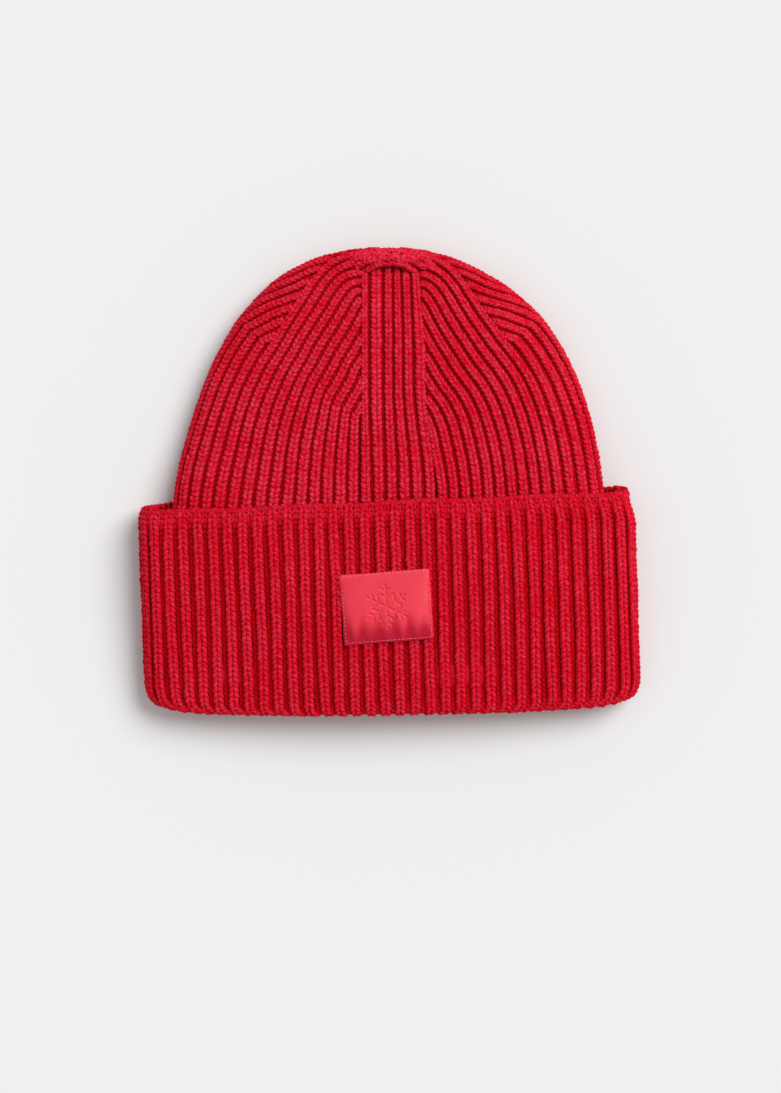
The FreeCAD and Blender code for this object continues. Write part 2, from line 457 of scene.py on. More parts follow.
def crown_fullness(x, y):
    """0 in the middle of the hat, 1 on its outline."""
    rise = np.clip((y - crown_base_y) / crown_length, 0, None)
    return np.sqrt((x / band_half(y)) ** 2 + rise ** crown_power)


def crown_z(x, y, face, inset=0.0):
    """Height of the crown's crest surface, on its front (1) or its back (-1)."""
    level = np.clip(crown_fullness(x, y), 0, 1)
    edge = crown_edge_height(y)
    front = edge + (crown_peak - edge - inset) * (1 - level ** 2.4) ** (1 / 2.4)
    low = 4.6 - 4.4 * smooth(y, -10, 40)
    back = edge - (edge - low - inset) * (1 - level ** 5) ** (1 / 5)
    puff = 1.2 * np.exp(-((x + 30) / 45) ** 2 - ((y - 35) / 40) ** 2)
    return np.where(face > 0, front + puff * (1 - level ** 4), back)


def crown_lift(x, y, face):
    """Points and outward normals on the crown above plan positions."""
    step = 0.4
    z = crown_z(x, y, face)
    slope_x = (crown_z(x + step, y, face) - crown_z(x - step, y, face)) / (2 * step)
    slope_y = (crown_z(x, y + step, face) - crown_z(x, y - step, face)) / (2 * step)
    outward = np.stack([-slope_x, -slope_y, np.ones_like(z)], -1) * face
    return np.stack([x, y, z], -1), unit(outward)


def settle(points):
    """The soft crown isn't quite even: it bulges and sinks a little round its outline."""
    x, y = points[..., 0], points[..., 1] - crown_base_y
    turn = np.degrees(np.arctan2(y, x))
    share = 0.016 * np.exp(-((turn - 110) / 11) ** 2) - 0.019 * np.exp(-((turn - 147) / 15) ** 2)
    share = share + 0.015 * np.exp(-((turn - 50) / 18) ** 2)
    moved = points.copy()
    moved[..., 0] = x * (1 + share)
    moved[..., 1] = y * (1 + share) + crown_base_y
    return moved


def even_curve(points, step):
    s = lengths_along(points)
    return at(np.arange(0, s[-1], step), s, points)


def outline_left():
    """The crown's left outline in plan, from under the cuff to the top, and its angle t."""
    y = np.linspace(crown_start_y + 25, crown_base_y, 20, endpoint=False)
    t = np.radians(np.linspace(0, 90, 400))
    points = np.concatenate([np.stack([band_half(y), y], 1), np.stack(dome(t), 1)]) * (-1, 1)
    angle = np.concatenate([np.zeros(20), np.degrees(t)])
    points = np.concatenate([points, points[-2:-24:-1] * (-1, 1)])
    angle = np.concatenate([angle, np.full(22, 90.0)])
    s = lengths_along(points)
    where = np.arange(0, s[-1], 1.0)
    return at(where, s, points), np.interp(where, s, angle), where


def plan_normals(points):
    tangent = unit(np.gradient(points, axis=0))
    return np.stack([tangent[:, 1], -tangent[:, 0]], 1)


def fold_profiles(outline):
    """For each outline point, the fabric's line from the front round the fold to the back."""
    inward = plan_normals(outline)
    reach = 130.0
    depth = reach * np.linspace(0, 1, 160) ** 2.2
    distance = np.arange(-60.0, 121.0, 1.0)
    table = np.empty((len(outline), len(distance), 3))
    for i, (point, normal) in enumerate(zip(outline, inward)):
        plan = point + depth[:, None] * normal * 0.999
        front = np.column_stack([plan, crown_z(plan[:, 0], plan[:, 1], 1)])
        back = np.column_stack([plan, crown_z(plan[:, 0], plan[:, 1], -1)])
        s = np.concatenate([-lengths_along(front)[:0:-1], lengths_along(back)])
        table[i] = at(distance, s, np.concatenate([front[:0:-1], back]))
    return table, distance


front_ribs = 6
gore_ribs = 11
back_ribs = 6
side_ribs = (rib_count - front_ribs - 2 * gore_ribs - back_ribs) // 2
back_edge = 15.0            # from the middle to the back panel's edge
tuck_length = 3.5           # a rib that ends against another one dips under it
shortest = 6                # a shorter rib is left out
overlap = 2.8               # how far a gore's rib runs in under the front panel's edge
gather_y = 100.5            # the gather at the top begins here
lean_from, lean_rate = 46, 0.55     # from this outline angle on, side ribs lean to the top
last_start = 65             # outline angle after which no late side rib starts
late_lines = 16             # how many half ribs to try beyond the usual ones, at most


def guide_depth(t):
    """How far inside the outline the line runs where the side ribs end, by outline angle."""
    return np.interp(t, (0, 48, 57, 62.5, 66, 71, 76, 90),
                     (19.6, 18.9, 15.6, 11.8, 8.3, 3.6, 0.8, 0.0))


def front_line(y, share):
    """x of the front panel's ribs. share is 0 at its left edge and 1 at its right."""
    low = (-13.4, -7.6, -1.6, 4.4, 10.4, 16.2, 22.2)
    mid = (-13.2, -9.2, -2.5, 2.2, 6.8, 11.6, 18.2)
    top = (-13.4, -9.3, -2.6, 1.9, 6.0, 10.3, 15.2)
    steps = np.linspace(0, 1, 7)
    bottom, middle, upper = (np.interp(share, steps, xs) for xs in (low, mid, top))
    rise = smooth(y, -5, 48)
    return bottom * (1 - rise) + rise * (middle + (upper - middle) * smooth(y, 55, 100))


def panel_edge(y, mirror):
    """Distance from the middle to the front panel's edge, on one side of the hat."""
    return -front_line(y, 0.0) if mirror < 0 else front_line(y, 1.0)


def least_pitch(x, start, end):
    """Ribs stand no closer than this. They are drawn in a little towards the top."""
    return 5.0 - 0.6 * smooth(x, start, end)


def crown_paths():
    """Lines for every rib of the crown and for every hollow between two ribs."""
    ribs, hollows = [], []
    outline, angle, sigma = outline_left()
    table, distance = fold_profiles(outline)
    across = np.gradient(table, axis=1)
    along = np.gradient(table, axis=0)
    normals = unit(np.cross(across, along))
    zero = np.searchsorted(distance, 0)
    if normals[40, zero + 40, 2] > 0:       # a point on the back, which has to face down
        normals = -normals
    pitch_top = least_pitch(angle, 45, 80)
    # the guide is the line where the side ribs end, and the gore's ribs run beside it
    guide_plan = outline + plan_normals(outline) * guide_depth(angle)[:, None]
    guide_at = np.array([
        np.interp(depth, *profile_depths(table[i], distance, outline[i]))
        for i, depth in enumerate(guide_depth(angle))])
    back_at = np.empty(len(outline))
    for i in range(len(outline)):
        hit = np.nonzero(table[i, zero:, 0] > -back_edge)[0]
        back_at[i] = distance[zero + hit[0]] if len(hit) else distance[-1]
    back_at = np.minimum.accumulate(back_at)
    pitch = np.maximum((back_at + guide_at) / side_ribs, pitch_top)
    shift = lean_rate * np.clip(sigma - np.interp(lean_from, angle, sigma), 0, None)

    def keep(half, points, outward, pitch, family, tuck, flip=1, late=False):
        place = ribs if half % 2 else hollows
        place.append(dict(points=points * flip, outward=outward * flip, pitch=pitch,
                          family=family, tuck=tuck, late=late))

    for mirror in (-1, 1):
        flip = np.array([-mirror, 1, 1])
        # side family, wrapped round the fold
        for half in range(1, 2 * side_ribs + late_lines):
            where = -guide_at + half / 2 * pitch - shift
            ok = (where > -guide_at - 2.6) & (where < back_at + 2.0)
            first = int(np.argmax(ok))      # above 0 where a rib starts beside the back panel
            stop = np.nonzero(~ok[first:])[0]
            stop = first + (stop[0] if len(stop) else len(ok) - first)
            if not ok[first] or stop - first < shortest or angle[first] > last_start:
                continue
            points, outward = (np.stack([at(where[k], distance, grid[k])
                                         for k in range(first, stop)])
                               for grid in (table, normals))
            keep(half, points, outward, pitch[first:stop], "side", tuck_length, flip, first > 0)
        # gore family, offset from the guide
        guide = running_mean(even_curve(guide_plan, 1.0), 9)
        inward = plan_normals(guide)
        edge_x = -panel_edge(guide[:, 1], mirror)
        room = np.where(inward[:, 0] > 0.02, (edge_x - guide[:, 0])
                        / np.maximum(inward[:, 0], 0.02), 400.0)
        room = np.minimum.accumulate(np.clip(room, 0, 400))
        progress = np.arange(len(guide)) / len(guide)
        gore_pitch = np.maximum(room / gore_ribs, least_pitch(progress, 0.5, 0.85))
        gore_pitch = running_mean(gore_pitch, 31)
        for half in range(0, 2 * gore_ribs):
            plan = guide + inward * (half / 2 * gore_pitch)[:, None]
            limit = -panel_edge(plan[:, 1], mirror)
            beyond = (plan[:, 0] > limit + overlap) & ((plan[:, 1] < gather_y) | (half > 3))
            stop = np.nonzero(beyond)[0]
            stop = stop[0] if len(stop) else len(plan)
            if stop < shortest:
                continue
            points, outward = crown_lift(plan[:stop, 0], plan[:stop, 1], 1)
            over_top = stop == len(guide)
            keep(half, points, outward, gore_pitch[:stop], "gore",
                 0.0 if over_top else tuck_length, flip)
    # front panel, then back panel
    y = np.arange(crown_start_y + 25, 108.0, 1.0)
    for half in range(1, 2 * front_ribs):
        x = front_line(y, half / (2 * front_ribs))
        wide = front_line(y, min(1, (half + 1) / (2 * front_ribs)))
        wide = wide - front_line(y, (half - 1) / (2 * front_ribs))
        keep(half, *crown_lift(x, y, 1), wide, "front", 3.0)
    for half in range(0, 2 * back_ribs + 1):
        x = np.full_like(y, back_edge * (half / back_ribs - 1))
        keep(half, *crown_lift(x, y, -1), np.full_like(y, 2 * back_edge / back_ribs), "back", 2.0)
    return ribs, hollows


def profile_depths(profile, distance, point):
    """Plan depth inside the outline against distance along the front of a profile."""
    front = distance <= 0
    depth = np.linalg.norm(profile[front][:, :2] - point, axis=1)[::-1]
    return depth, -distance[front][::-1]


# ---- materials ------------------------------------------------------------
def set_inputs(made, **inputs):
    for name, value in inputs.items():
        made.inputs[name.replace("_", " ")].default_value = value
    return made


def node(tree, kind, *sources, **inputs):
    """A shader node. sources are linked to its first inputs, in turn."""
    made = set_inputs(tree.nodes.new("ShaderNode" + kind), **inputs)
    for socket, source in zip(made.inputs, sources):
        if source is not None:
            tree.links.new(source, socket)
    return made


def new_material(name, **inputs):
    """A material, its node tree and its shader, with the shader's own numbers set."""
    material = bpy.data.materials.new(name)
    material.use_nodes = True
    shader = material.node_tree.nodes["Principled BSDF"]
    return material, material.node_tree, set_inputs(shader, **inputs)


def calculate(tree, operation, *sources):
    made = node(tree, "Math", *sources)
    made.operation = operation
    return made.outputs[0]


def multiply_add(tree, value, factor, plus=None):
    """value * factor + plus, as a node's output."""
    made = node(tree, "Math", value, None, plus)
    made.operation = "MULTIPLY_ADD"
    made.inputs[1].default_value = factor
    made.inputs[2].default_value = 0.0
    return made.outputs[0]


def two_tones(tree, value, *tones):
    """A colour between two tones, each given as (value, colour)."""
    ramp = node(tree, "ValToRGB", value)
    for i, (position, colour) in enumerate(tones):
        ramp.color_ramp.elements[i].position = position
        ramp.color_ramp.elements[i].color = (*colour, 1)
    return ramp.outputs["Color"]


def attribute(tree, name):
    made = node(tree, "Attribute")
    made.attribute_name = name
    return made


def mix_from(tree, factor, painted_shade, colour):
    """The painted shade colour where factor is 0, and the linked colour where it is 1."""
    blend = node(tree, "Mix")
    blend.data_type = "RGBA"
    blend.inputs[6].default_value = (*painted_shade, 1)
    tree.links.new(factor, blend.inputs["Factor"])
    tree.links.new(colour, blend.inputs[7])
    return blend.outputs[2]


def add_bump(tree, shader, height, **inputs):
    bump = node(tree, "Bump", **inputs)
    tree.links.new(height, bump.inputs["Height"])
    tree.links.new(bump.outputs["Normal"], shader.inputs["Normal"])


def yarn_material(name, painted_shade, dark, light, fibre=1.0, rough=0.9, sheen=0.04):
    """Soft dyed yarn, mottled at random, with painted shade: the deep colour deep in the knit, the
    mottle on the yarn's raised side.
    """
    material, tree, shader = new_material(
        name, Roughness=rough, Specular_IOR_Level=0.06, Sheen_Weight=sheen,
        Sheen_Roughness=0.45, Sheen_Tint=(1.0, 0.35, 0.4, 1))
    where = node(tree, "TexCoord").outputs["Object"]
    patches = node(tree, "TexNoise", where, Scale=520.0, Detail=2.0, Roughness=0.6)
    fine = node(tree, "TexNoise", where, Scale=1900.0, Detail=3.0, Roughness=0.7)
    broad = node(tree, "TexNoise", where, Scale=45.0, Detail=1.0, Roughness=0.5)
    mottle = multiply_add(tree, broad.outputs["Fac"], 0.15)
    mottle = multiply_add(tree, patches.outputs["Fac"], 0.5, mottle)
    mottle = multiply_add(tree, fine.outputs["Fac"], 0.35, mottle)
    colour = two_tones(tree, mottle, (0.43, dark), (0.62, light))
    # painted shade: the deep colour where the yarn lies deep in the knit, the mottle on its raised
    # side
    rise = node(tree, "MapRange", attribute(tree, "crest").outputs["Fac"],
                From_Min=0.25, From_Max=0.95)
    tree.links.new(mix_from(tree, rise.outputs["Result"], painted_shade, colour),
                   shader.inputs["Base Color"])
    height = multiply_add(tree, fine.outputs["Fac"], 1.2, ply_height(tree))
    add_bump(tree, shader, height, Strength=0.6 * fibre, Distance=0.00035)
    return material


def ply_height(tree):
    """The yarn's twisted plies, from each point's angle and distance along its yarn."""
    split = node(tree, "SeparateXYZ", attribute(tree, "twist").outputs["Vector"])
    angle = calculate(tree, "ARCTAN2", split.outputs["Y"], split.outputs["X"])
    turned = multiply_add(tree, split.outputs["Z"], 2 * math.pi / ply_turn)
    wave = calculate(tree, "SINE", multiply_add(tree, angle, plies, turned))
    return multiply_add(tree, wave, 0.45)


# Each yarn's first colour is painted shade for deep in the knit; the other two are its random
# mottle.
cuff_red = yarn_material("red_yarn_cuff", (0.52, 0.0, 0.004), (0.64, 0.0, 0.010),
                         (0.73, 0.028, 0.074))
yarn_red = yarn_material("red_yarn_crown", (0.55, 0.0, 0.006), (0.65, 0.0, 0.014),
                         (0.76, 0.046, 0.102))
# The ground and inside sheets: the yarn's red painted darker, as painted shade between the ribs
# and inside the hat.
painted_shade_red = yarn_material("red_yarn_painted_shade", (0.34, 0.0, 0.005), (0.34, 0.0, 0.005),
                         (0.46, 0.002, 0.012))


def sheet_object(name, grid, flip=False):
    """Plain fabric behind the stitches, from a grid whose columns close into rings. It is coloured
    with painted shade: a darker red than the yarn.
    """
    faces = grid_faces(grid.shape[0], grid.shape[1], True)
    return mesh_object(name, grid.reshape(-1, 3), faces[:, ::-1] if flip else faces, painted_shade_red)


# ---- make the cuff --------------------------------------------------------
path_rows = 280
cuff_grid = cuff_columns(path_rows)
cuff_normals = sheet_normals(cuff_grid)
middle_front = loop_samples // 2
if cuff_normals[20, middle_front, 2] < 0:
    cuff_normals = -cuff_normals

stitch_end = 155.0          # beyond this, the inside of the cuff is out of sight
at_fold = 103.0             # how far along a rib the fold is
hem_band = 6.5              # the cast-on rows, where the hollows haven't opened yet


def inner_layer(s):
    """0 on the cuff's outer layer, 1 on the inner one, where the knit is pressed flatter."""
    return smooth(s, at_fold + 6, at_fold + 16)


row_s = np.linspace(0, 178, path_rows)[:, None, None]       # mm from the hem, roughly
ground_depth = floor_depth * (1 - 0.5 * inner_layer(row_s))
cuff_base = sheet_object("knit_cuff_ground", (cuff_grid - ground_depth * cuff_normals)[::2])
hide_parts("cuff_knit")


def lining(points, outward, width, rows=30):
    """The wrong side of the fabric behind a rib's or hollow's first rows."""
    return Wale((points - fabric * outward)[:rows], -outward[:rows], width[:rows])


cuff_yarns, cuff_bars = Yarns(), Yarns()
for k in range(rib_count):
    drift = wobble(np.arange(path_rows), 0.35, 120)
    m = (k + 0.5) * samples_per_rib + drift
    points, outward, pitch = sheet_path(cuff_grid, cuff_normals, m)
    rib = Wale(points, outward, pitch * cuff_rib_share)
    rows = rows_of(rib, 0.6, min(stitch_end, rib.length))
    knit_v(cuff_yarns, rib, rows, lift=wobble(rows, 0.12, 30))
    lining_rib = lining(points, outward, pitch * 0.7)
    lining_rows = rows_of(lining_rib, -1.6)
    knit_v(cuff_yarns, lining_rib, lining_rows, lift=2.2)
    core(cuff_yarns, rib, 0.5, at_fold + 10)
    core(cuff_yarns, rib, at_fold + 8, rib.length - 1, depth=1.3, thick=0.9)
    points, outward, pitch = sheet_path(cuff_grid, cuff_normals, m + 0.5 * samples_per_rib)
    hollow = Wale(points, outward, pitch * cuff_hollow_share)
    rows = rows_of(hollow, 1.0, min(stitch_end, hollow.length))
    past_fold = np.abs(rows - at_fold)
    depth = -2.75 + 0.8 * (1 - smooth(rows, 5, 12)) + 1.0 * (1 - smooth(past_fold, 3, 12))
    knit_bars(cuff_bars, hollow, rows, depth + 1.5 * inner_layer(rows))
    knit_v(cuff_bars, lining(points, outward, pitch * 0.5), lining_rows, lift=1.3)
    rows = rows_of(hollow, 0.6, hem_band)
    edge = Wale(points[:40], outward[:40], 0.5 * pitch[:40])
    knit_v(cuff_bars, edge, rows, lift=-0.2 - 1.0 * smooth(rows, 2, hem_band))

cuff_yarns.build("knit_cuff_ribs", cuff_red)
cuff_bars.build("knit_cuff_hollows", cuff_red)

# chain of cast-on loops along the free edge, outside and inside
edge_line = np.concatenate([cuff_grid[0], cuff_grid[:1, 0]])
edge_outward = np.concatenate([cuff_normals[0], cuff_normals[:1, 0]])
chain_yarns = Yarns()
for face, inset in ((1, 1.0), (-1, 3.0)):
    chain = Wale(edge_line + np.array([0, 0.3, 0]) - inset * edge_outward,
                 face * edge_outward, 2.2)
    knit_v(chain_yarns, chain, np.arange(0, chain.length - 1.0, 2.4), lift=1.0, fat=1.2)
    if face > 0:
        core(chain_yarns, chain, 0, chain.length, depth=0.7, share=0.36, thick=1.0)
chain_piece = chain_yarns.build("knit_cuff_edge_chain", cuff_red)[0]
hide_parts("cuff_hem_chain")

# ---- make the crown -------------------------------------------------------
rib_lines, hollow_lines = crown_paths()
crown_yarns, crown_bars = Yarns(), Yarns()
gather_rise, panel_dip = 1.5, 1.8
band_rows = 14              # rows of a crown sheet below the dome


def set_heights(line, points):
    """How far a line stands off the crest surface: gathers and tucks."""
    s = lengths_along(points)
    lift = np.zeros(len(points))
    if line["tuck"]:
        lift -= 1.9 * smooth(s, s[-1] - line["tuck"], s[-1])
    if line["late"]:
        lift -= 1.9 * (1 - smooth(s, 0, line["tuck"]))
    x, y = points[:, 0], points[:, 1]
    if line["family"] == "gore":
        lift += gather_rise * np.exp(-(x / 24) ** 2) * smooth(y, 97, 103)
    if line["family"] == "side":
        lift += 0.9 * smooth(y, 50, 80)
    if line["family"] == "front":
        lift -= panel_dip * smooth(y, 92, 101)
    return lift


def sheet_rise(x, y):
    """The same gather and dip for the ground under the stitches."""
    drawn = smooth(y, gather_y, 103)
    beside = smooth(np.abs(x - 1.0), 13, 17)
    dip = panel_dip * smooth(y, 92, 100) * (1 - drawn) * (1 - beside)
    return gather_rise * np.exp(-(x / 24) ** 2) * drawn - dip


for line in rib_lines + hollow_lines:
    heights = set_heights(line, line["points"])
    line["points"] = settle(line["points"] + line["outward"] * heights[:, None])
for line in rib_lines:
    share, camber = (side_rib_share, 6.5) if line["family"] == "side" else (crown_rib_share, 4.0)
    rib = Wale(line["points"], line["outward"], line["pitch"] * share)
    knit_column(crown_yarns, rib, 0.12, 30, camber=camber)
for line in hollow_lines:
    hollow = Wale(line["points"], line["outward"], line["pitch"] * crown_hollow_share)
    knit_bars(crown_bars, hollow, rows_of(hollow), -2.8)
crown_yarns.build("knit_crown_ribs", yarn_red)
crown_bars.build("knit_crown_hollows", yarn_red)


def crown_sheet(inset, start_y, rows=90, columns=110):
    """A closed sheet of the crown, drawn in by inset: front and back in one grid."""
    low_t = np.linspace(0, 1, band_rows, endpoint=False)
    straight = start_y + (crown_base_y - start_y) * low_t
    t = np.radians(np.linspace(0, 89.5, rows))
    dome_half, rise = dome(t, inset)
    y = np.concatenate([straight, rise])
    half = np.concatenate([band_half(straight) - inset, dome_half])
    x_front = half[:, None] * np.sin(np.linspace(-math.pi / 2, math.pi / 2, columns))
    y_grid = np.repeat(y[:, None], columns, 1)
    scale = crown_half / (crown_half - inset)
    stretch = 1 + inset / crown_length
    y_level = crown_base_y + (y_grid - crown_base_y) * np.where(y_grid > crown_base_y, stretch, 1)
    front = crown_z(x_front * scale, y_level, 1, inset) + sheet_rise(x_front, y_grid)
    back = crown_z(x_front * scale, y_level, -1, inset)
    top = np.stack([x_front, y_grid, front], -1)
    under = np.stack([x_front, y_grid, back], -1)[:, ::-1]
    return settle(np.concatenate([top, under[:, 1:-1]], 1))


shell = crown_sheet(floor_depth, crown_start_y)
crown_base = sheet_object("knit_crown_ground", shell)
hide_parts("crown_knit")

# inside faces, seen through the mouth
sheet_object("knit_crown_inside", crown_sheet(fabric, inner_band_end - 12), flip=True)
sheet_object("knit_cuff_inside", (cuff_grid - fabric * cuff_normals)[:path_rows // 3:2], flip=True)


def ring_by_angle(ring, count=300):
    """A closed ring of points, sampled evenly by its angle round the hat's middle."""
    angle = np.arctan2((ring[:, 2] - 15.0) / 13.0, ring[:, 0] / 108.0)
    order = np.argsort(angle)
    angle, ring = angle[order], ring[order]
    angle = np.concatenate([angle - 2 * math.pi, angle, angle + 2 * math.pi])
    return at(np.linspace(-math.pi, math.pi, count, endpoint=False), angle, np.tile(ring, (3, 1)))


band_end = ring_by_angle(cuff_grid[-4] - floor_depth * cuff_normals[-4])
crown_ring = ring_by_angle(shell[band_rows])
share = np.linspace(0, 1, 8)[:, None, None]
sheet_object("knit_crown_join", band_end * (1 - share) + crown_ring * share)

# ---- top closing and back seam --------------------------------------------
closing = Yarns()
gather_rows = ((101.9, 0.0150, 12.5, 2.3), (104.0, 0.0110, 17.5, 2.6),
               (106.2, 0.0084, 22.0, 2.2), (108.4, 0.0066, 26.0, 1.2))
for side in (-1, 1):
    for middle_y, droop, reach, height in gather_rows:
        x = np.linspace(reach, -0.6, 60) * side
        pinch = 0.5 * (104.6 - middle_y) / 3.4 * np.exp(-(x / 3.5) ** 2)
        points, outward = crown_lift(x + 1.0, middle_y + pinch - droop * x ** 2, 1)
        sink = 3.4 * smooth(np.abs(x), reach - 6.5, reach)
        points = settle(points + outward * (height - sink)[:, None])
        row = Wale(points, outward, 3.5)
        knit_column(closing, row, 0.25, 12, fat=1.12, depth=2.3, share=0.44, thick=1.5)
# short bits of yarn where the rows are drawn together
gathered = 26
along = rng.uniform(-1, 1, gathered)
over = rng.uniform(-1, 1, gathered) * np.sqrt(1 - along ** 2)
for x, y in zip(1.0 + 6.5 * along, 105.0 + 2.6 * over):
    turn = math.radians(rng.normal(0, 18) + 3.2 * (x - 1) * np.sign(105.0 - y))
    reach, span = rng.uniform(1.2, 1.9), np.linspace(-1, 1, 9)
    bit, outward = crown_lift(x + reach * math.cos(turn) * span,
                              y + reach * math.sin(turn) * span, 1)
    swell = 2.5 + 0.5 * math.exp(-((x - 1) / 4) ** 2) - 0.2 * max(0.0, y - 105.0)
    bit = bit + outward * (swell - 1.5 * span[:, None] ** 2)
    strand = Wale(bit, outward, 1.0, spacing=0.4)
    t = leg_share
    thick = 0.66 * (0.62 + 0.38 * np.sin(math.pi * np.clip(t, 0, 1))) * leg_round
    closing.add(strand.place((strand.length * t)[None], (thick * np.cos(leg_angle))[None],
                             (thick * np.sin(leg_angle))[None]), leg_faces)
# rows that close the very tip, where front and back meet under the gather
tip_radius, tip_height = 4.2, 6.9
for side in (-1, 1):
    for lean in np.radians((42, 2, -38)):
        x = np.linspace(11.5, -0.6, 50) * side
        tip_y = crown_base_y + crown_length * (1 - (x / crown_half) ** 2) ** (1 / crown_power)
        outward = np.array([0.0, math.cos(lean), math.sin(lean)])
        sink = 2.6 * smooth(np.abs(x), 4.5, 11)
        middle = np.stack([x, tip_y - tip_radius, np.full(50, tip_height)], 1)
        points = settle(middle + outward * (tip_radius - sink)[:, None])
        row = Wale(points, outward, 3.4)
        knit_column(closing, row, 0.2, 12, fat=1.1, depth=2.2, share=0.44, thick=1.4)
closing_piece = closing.build("knit_crown_gather", yarn_red)[0]
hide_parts("crown_top_seam")

# the yarn drawn through the last stitches, inside the top, with its knot
loop_low, loop_high = in_mm(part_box("crown_closing_yarn"))
loop_middle, loop_half = (loop_low + loop_high) / 2, (loop_high - loop_low) / 2 - 0.9
turn = np.linspace(0, 2 * math.pi, 60)
spread = np.stack([np.cos(turn), 0 * turn, np.sin(turn)], 1)
loop_line = loop_middle + spread * (loop_half[0], 0, loop_half[2])
loop = Wale(loop_line, spread, 1.8)
loop_yarn = Yarns()
core(loop_yarn, loop, 0, loop.length, depth=0.0, share=0.42, thick=0.75, height=0)
knot_rows = loop.length * 0.25 + np.array([-1.0, 0.0, 1.0])
knit_v(loop_yarn, loop, knot_rows, lift=0.9, fat=2.4)
loop_piece = loop_yarn.build("crown_closing_loop", yarn_red, slot="yarn")[0]
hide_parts("crown_closing_yarn")

seam_y = np.arange(-104.0, 88.0, 1.0)
seam_low = 9.0 - 3.4 * smooth(seam_y, -44, -20) - 1.2 * smooth(seam_y, -10, 40)
seam_open = smooth(seam_y, -104, -95)       # the seam's end at the mouth is sewn down
seam_line = np.stack([np.zeros_like(seam_y), seam_y, seam_low - 0.4 + 1.4 * seam_open], 1)
seam = Wale(seam_line, UP, 3.4 + 2.0 * seam_open)
seam_yarn = Yarns()
knit_v(seam_yarn, seam, rows_of(seam), lift=0.9)
core(seam_yarn, seam, 0, seam.length, depth=1.0, share=0.4, thick=0.8)
seam_piece = seam_yarn.build("back_seam_linking", yarn_red, slot="yarn")[0]
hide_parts("back_seam")

# ---- patch ----------------------------------------------------------------
patch_size = (42.1, 33.0)
half_p, half_q = patch_size[0] / 2, patch_size[1] / 2
wrinkle = 7.3               # distance between the patch's soft upright ripples
patch_middle = (-0.9, -59.0)
patch_tilt = math.radians(4.5)
stitch_inset = 1.1
stitch_pitch = 1.8


def cuff_front_z(x, y):
    """Height of the cuff's front under the patch."""
    radius = 617.0
    return (cuff_thick - radius + np.sqrt(radius ** 2 - x ** 2)) * cuff_slope(y)


def segment_distance(p, q, start, end):
    along = np.array(end) - np.array(start)
    share = ((p - start[0]) * along[0] + (q - start[1]) * along[1]) / (along @ along)
    share = np.clip(share, 0, 1)
    return np.hypot(p - start[0] - share * along[0], q - start[1] - share * along[1])


def snowflake(p, q):
    """Distance from a plain six-armed snowflake."""
    nearest = np.full(p.shape, 99.0)
    arm, middle = 10.2, (0.0, 0.2)
    for spoke in range(6):
        angle = math.radians(90 + 60 * spoke)
        tip = (middle[0] + arm * math.cos(angle), middle[1] + arm * math.sin(angle))
        nearest = np.minimum(nearest, segment_distance(p, q, middle, tip))
        for share, length in ((0.42, 3.4), (0.72, 2.3)):
            root = (middle[0] + share * arm * math.cos(angle),
                    middle[1] + share * arm * math.sin(angle))
            for side in (-1, 1):
                turn_by = angle + side * math.radians(58)
                end = (root[0] + length * math.cos(turn_by), root[1] + length * math.sin(turn_by))
                nearest = np.minimum(nearest, segment_distance(p, q, root, end))
    return nearest


def patch_place(p, q, lift):
    """Points of the patch in the hat's frame from its own (p, q) and height over the knit."""
    x = patch_middle[0] + p * math.cos(patch_tilt) - q * math.sin(patch_tilt)
    y = patch_middle[1] + p * math.sin(patch_tilt) + q * math.cos(patch_tilt)
    return np.stack([x, y, cuff_front_z(x, y) + lift], -1)


def patch_lift(p, q):
    """How high the patch's top face stands: pillowed, pulled down along its stitches."""
    edge = np.minimum(half_p - np.abs(p), half_q - np.abs(q))
    hang = (half_q + q) / (2 * half_q)
    swell = smooth(hang, -0.03, 0.24) * (1 - 0.8 * smooth(hang, 0.28, 1.05))
    pillow = 2.4 * swell * (1 - np.abs(p / half_p) ** 8)
    ripple = 0.22 * np.cos(2 * math.pi * p / wrinkle + 0.6) * smooth(-q, -2, 13)
    ripple += 0.12 * np.sin(p / 3.1 + 1.0) * smooth(-q, 4, 14)
    pucker = 0.10 * np.cos(2 * math.pi * p / stitch_pitch) * np.exp(-(edge / 1.3) ** 2)
    groove = 0.18 * np.exp(-((edge - stitch_inset) / 0.5) ** 2)
    rim = 0.5 * np.exp(-(edge / 0.7) ** 2)
    curl = 0.9 * np.exp(-np.hypot(p + half_p, q + half_q) / 1.6)
    press = 0.42 * (1 - smooth(snowflake(p, q), 0.38, 0.72))
    return 0.75 + pillow + ripple + pucker - groove - rim + curl - press


